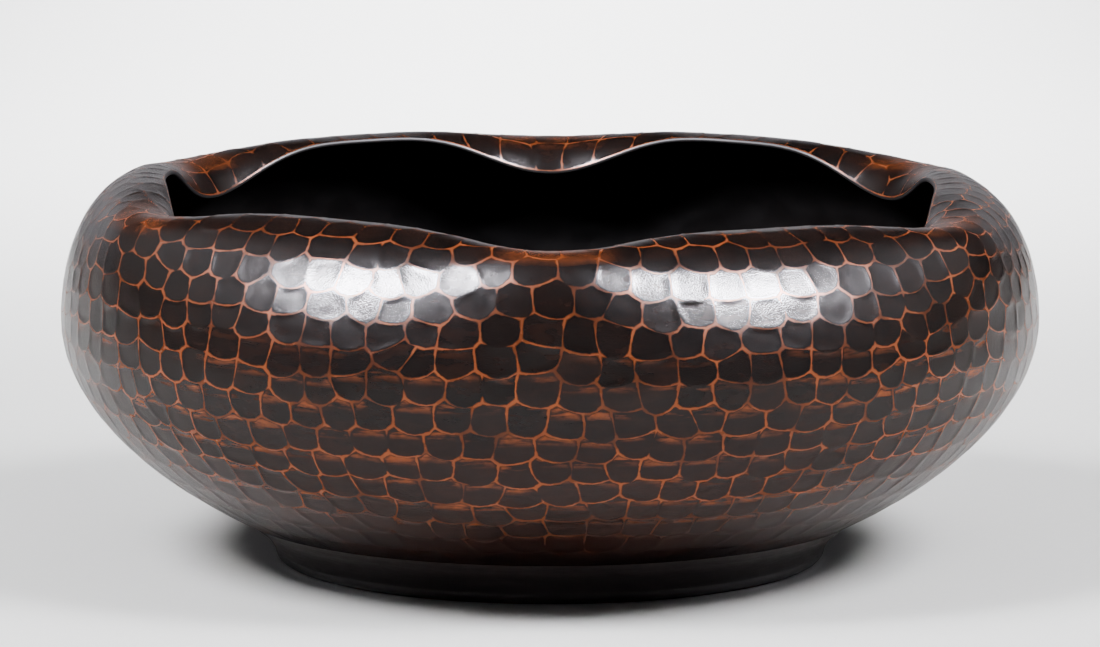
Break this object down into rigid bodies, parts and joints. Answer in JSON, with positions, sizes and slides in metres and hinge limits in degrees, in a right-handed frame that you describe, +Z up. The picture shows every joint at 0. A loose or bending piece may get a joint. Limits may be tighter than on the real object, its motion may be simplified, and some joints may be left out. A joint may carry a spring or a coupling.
{
  "type": "hammered bowl",
  "caption": "Raised hammered copper bowl with a full belly and a lobed, turned-in lip, on a low soldered foot ring.",
  "frame": {"origin": "centre of the circle that the foot ring stands on", "axes": "+Z up, out of the mouth; +Y and -Y each point at a notch of the lip; +X completes the right-handed frame"},
  "size_m": [0.25, 0.2502, 0.0991],
  "materials": {
    "patinated_copper": "dark brown patina over hammered copper, rubbed back to orange copper on the ridges between the facets, satin",
    "foot_copper": "plain dark brown patina, satin",
    "solder": "silver solder darkened by the patina bath"
  },
  "bodies": {
    "root": {"bowl_shell": "patinated_copper", "foot_ring": "foot_copper", "foot_solder": "solder"}
  },
  "joints": []
}
